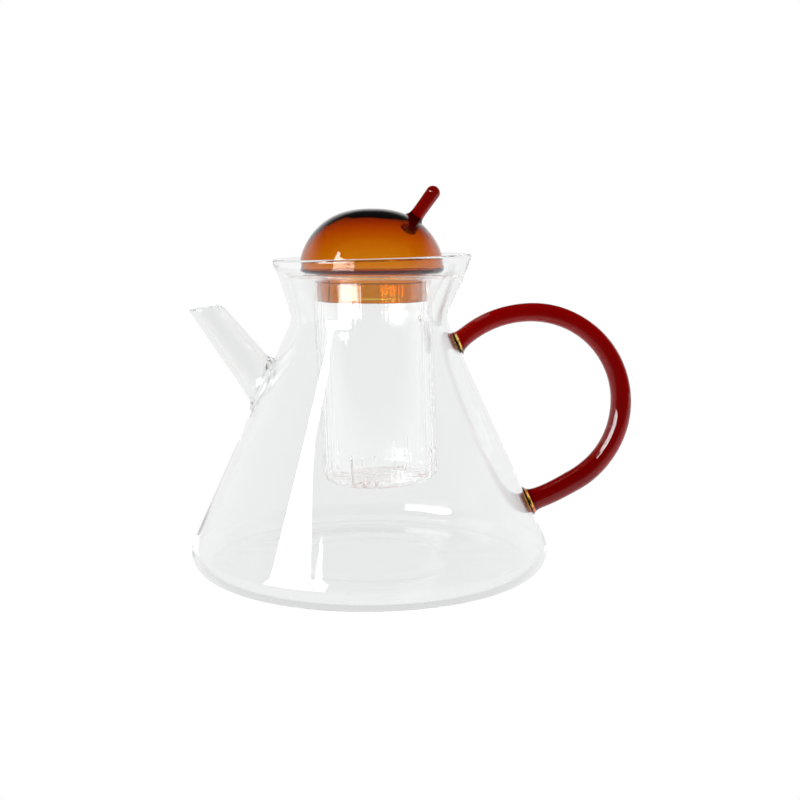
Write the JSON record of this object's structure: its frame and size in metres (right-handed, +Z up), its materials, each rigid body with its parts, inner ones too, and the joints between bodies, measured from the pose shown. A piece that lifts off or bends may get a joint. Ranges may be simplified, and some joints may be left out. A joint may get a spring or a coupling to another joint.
{
  "type": "glass teapot",
  "caption": "Conical clear glass teapot with a flared neck, straight spout, amber loop handle, hanging slotted infuser and hollow amber lid with a leaning stick knob.",
  "frame": {"origin": "middle of the pot's flat base, on the pot's axis, at the height of the table", "axes": "+Z up along the pot's axis; -X towards the spout; +X towards the handle"},
  "size_m": [0.2013, 0.1628, 0.1722],
  "materials": {
    "clear_glass": "clear polished borosilicate",
    "amber_glass": "clear polished amber",
    "deep_amber_glass": "polished solid amber rod"
  },
  "bodies": {
    "pot": {"pot_body": "clear_glass", "spout_tube": "clear_glass", "spout_weld": "clear_glass", "handle_rod": "deep_amber_glass", "handle_upper_foot": "deep_amber_glass", "handle_lower_foot": "deep_amber_glass"},
    "infuser": {"infuser_tube": "clear_glass", "infuser_flange": "clear_glass"},
    "lid": {"lid_dome": "amber_glass", "lid_collar": "amber_glass", "lid_knob": "deep_amber_glass", "knob_weld": "deep_amber_glass"}
  },
  "joints": [
    {"name": "infuser_lift", "type": "slide", "parent": "pot", "child": "infuser", "axis": [0, 0, 1], "range_m": [0, 0.115]},
    {"name": "lid_lift", "type": "slide", "parent": "infuser", "child": "lid", "axis": [0, 0, 1], "range_m": [0, 0.04]}
  ]
}
